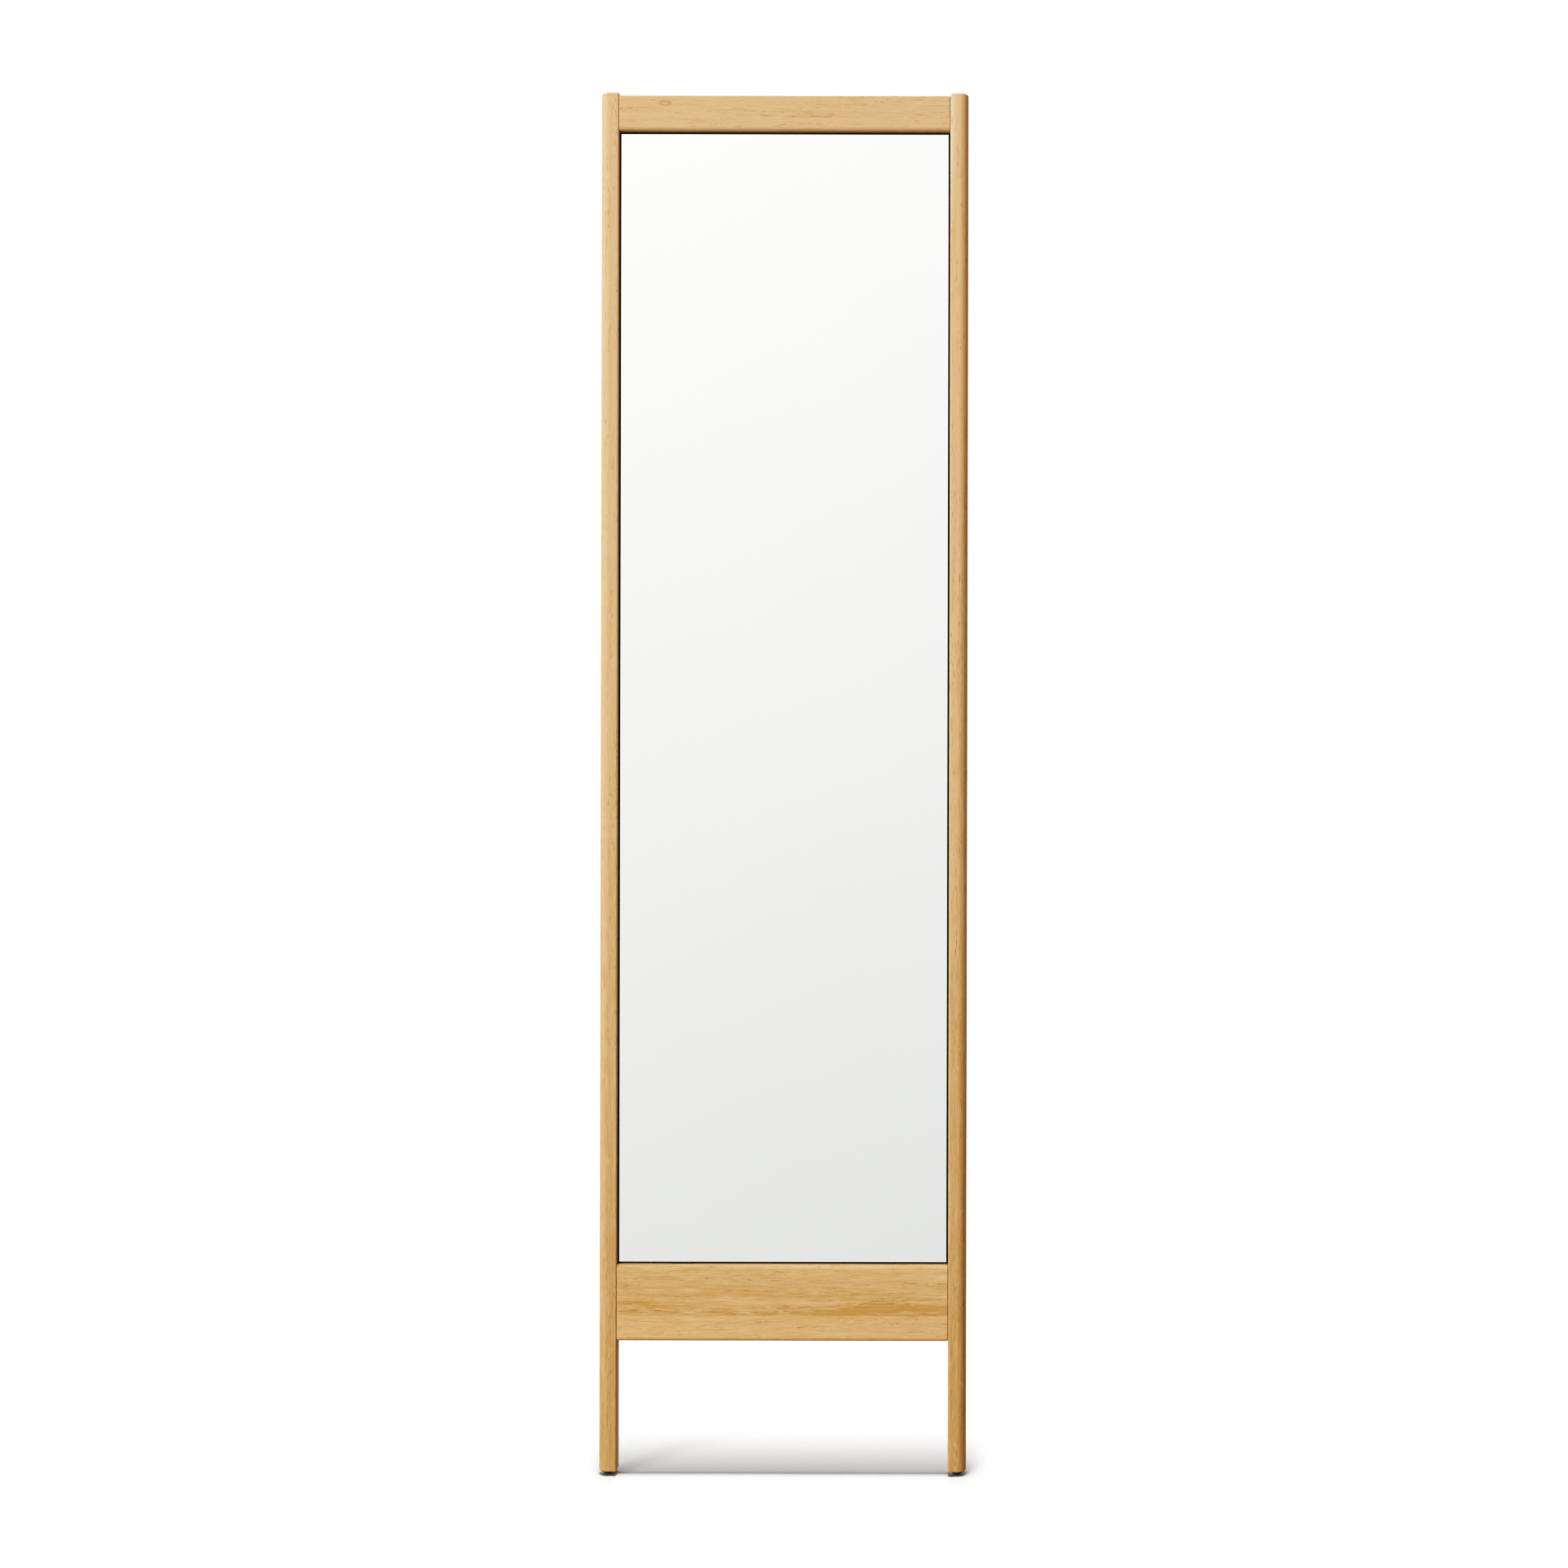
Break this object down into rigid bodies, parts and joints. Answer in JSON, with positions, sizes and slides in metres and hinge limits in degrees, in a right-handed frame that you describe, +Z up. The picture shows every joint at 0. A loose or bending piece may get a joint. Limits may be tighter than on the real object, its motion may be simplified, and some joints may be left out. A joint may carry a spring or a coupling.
{
  "type": "leaning floor mirror",
  "caption": "Slim oak floor mirror that leans on a wall: tall glass framed by leg posts and rails, with screw-in glides under the legs and a swivelling tab that ties it to the wall.",
  "frame": {"origin": "on the floor, at the centre of the mirror's box, with the mirror upright", "axes": "+X to the right of someone looking into the mirror, the glass faces -Y, +Z up along the stiles"},
  "size_m": [0.52, 0.028, 1.955],
  "materials": {
    "oak": "matt oiled, straight grain",
    "dowel_wood": "plain beech",
    "silvered_glass": "clear silvered float glass, ground edges",
    "film": "smooth",
    "foam_tape": "matt foam",
    "painted_panel": "matt black paint on fibreboard",
    "soft_rubber": "matt",
    "glide_plastic": "moulded satin black",
    "plated_steel": "zinc plated",
    "insert_metal": "machined"
  },
  "bodies": {
    "frame": {"left_stile": "oak", "right_stile": "oak", "left_top_dowels": "dowel_wood", "right_top_dowels": "dowel_wood", "left_bottom_dowels": "dowel_wood", "right_bottom_dowels": "dowel_wood", "left_foot_insert": "insert_metal", "right_foot_insert": "insert_metal", "left_wall_rest": "soft_rubber", "right_wall_rest": "soft_rubber", "top_rail": "oak", "bottom_rail_lower_board": "oak", "bottom_rail_upper_board": "oak", "mirror_glass": "silvered_glass", "shatter_film": "film", "mounting_tapes": "foam_tape", "backing_panel": "painted_panel", "setting_blocks": "soft_rubber", "backing_panel_screws": "plated_steel", "wall_tab_spacer": "plated_steel", "wall_tab_screw": "plated_steel"},
    "wall_tab": {"wall_tab": "plated_steel"},
    "left_glide": {"left_glide_pad": "glide_plastic"},
    "left_stud": {"left_glide_stud": "plated_steel"},
    "right_glide": {"right_glide_pad": "glide_plastic"},
    "right_stud": {"right_glide_stud": "plated_steel"}
  },
  "joints": [
    {"name": "wall_tab_swivel", "type": "hinge", "parent": "frame", "child": "wall_tab", "pos_m": [0, 0.0083, 1.9378], "axis": [0, 1, 0], "range_deg": [-180, 180]},
    {"name": "left_glide_height", "type": "slide", "parent": "frame", "child": "left_glide", "axis": [0, 0, -1], "range_m": [0, 0.01]},
    {"name": "left_stud_turn", "type": "hinge", "parent": "left_glide", "child": "left_stud", "pos_m": [-0.247, -0.001, 0.005], "axis": [0, 0, -1], "range_deg": [0, 3600]},
    {"name": "right_glide_height", "type": "slide", "parent": "frame", "child": "right_glide", "axis": [0, 0, -1], "range_m": [0, 0.01]},
    {"name": "right_stud_turn", "type": "hinge", "parent": "right_glide", "child": "right_stud", "pos_m": [0.247, -0.001, 0.005], "axis": [0, 0, -1], "range_deg": [0, 3600]}
  ],
  "couplings": [
    {"joint": "left_stud_turn", "follows": "left_glide_height", "rad_per_m": 6283.2},
    {"joint": "right_stud_turn", "follows": "right_glide_height", "rad_per_m": 6283.2}
  ]
}
